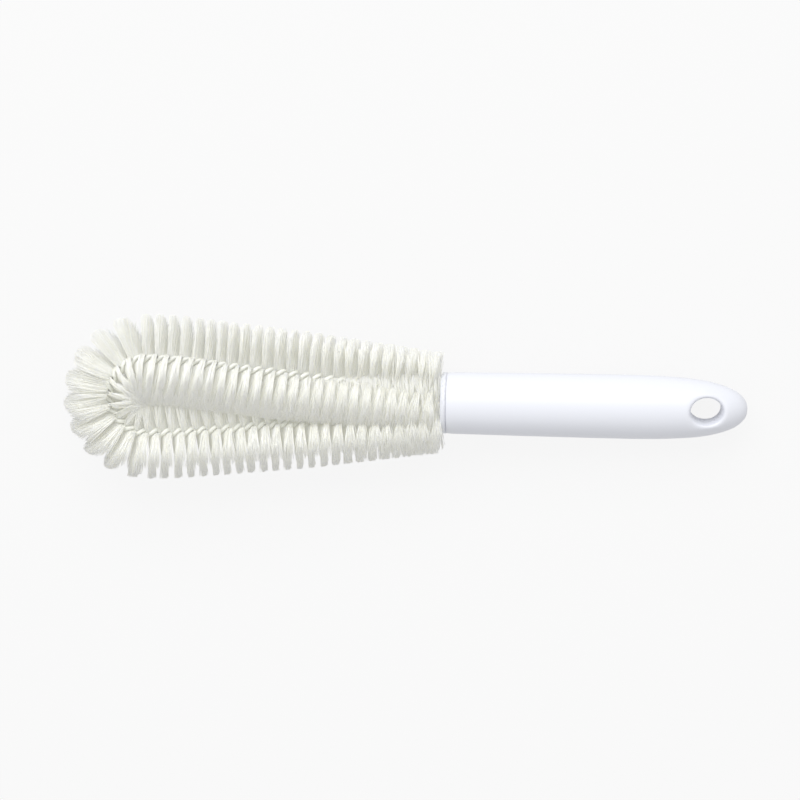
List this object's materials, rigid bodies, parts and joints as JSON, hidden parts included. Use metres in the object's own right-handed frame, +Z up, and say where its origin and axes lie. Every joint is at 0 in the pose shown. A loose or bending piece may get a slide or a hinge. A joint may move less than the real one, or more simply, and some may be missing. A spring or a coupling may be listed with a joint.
{
  "type": "bottle brush",
  "caption": "Twisted-wire brush with bristles fanned round a long loop and a round moulded handle with a hanging hole, for washing bottles and glassware.",
  "frame": {"origin": "centre of the brush's bounding box, on the floor it lies on", "axes": "+X along the brush towards the handle's tip, +Y across the two legs of the loop, +Z up"},
  "size_m": [0.2984, 0.073, 0.0442],
  "materials": {
    "handle_plastic": "satin moulded polypropylene, bluish white",
    "plug_plastic": "satin moulded polypropylene, white",
    "coated_wire": "white plastic coat on steel wire",
    "bristles": "cream nylon monofilament"
  },
  "bodies": {
    "root": {"handle": "handle_plastic", "handle_plug": "plug_plastic", "wire_a": "coated_wire", "wire_b": "coated_wire", "bristle_turn_01": "bristles", "bristle_turn_02": "bristles", "bristle_turn_03": "bristles", "bristle_turn_04": "bristles", "bristle_turn_05": "bristles", "bristle_turn_06": "bristles", "bristle_turn_07": "bristles", "bristle_turn_08": "bristles", "bristle_turn_09": "bristles", "bristle_turn_10": "bristles", "bristle_turn_11": "bristles", "bristle_turn_12": "bristles", "bristle_turn_13": "bristles", "bristle_turn_14": "bristles", "bristle_turn_15": "bristles", "bristle_turn_16": "bristles", "bristle_turn_17": "bristles", "bristle_turn_18": "bristles", "bristle_turn_19": "bristles", "bristle_turn_20": "bristles", "bristle_turn_21": "bristles", "bristle_turn_22": "bristles", "bristle_turn_23": "bristles", "bristle_turn_24": "bristles", "bristle_turn_25": "bristles", "bristle_turn_26": "bristles", "bristle_turn_27": "bristles", "bristle_turn_28": "bristles", "bristle_turn_29": "bristles"}
  },
  "joints": []
}
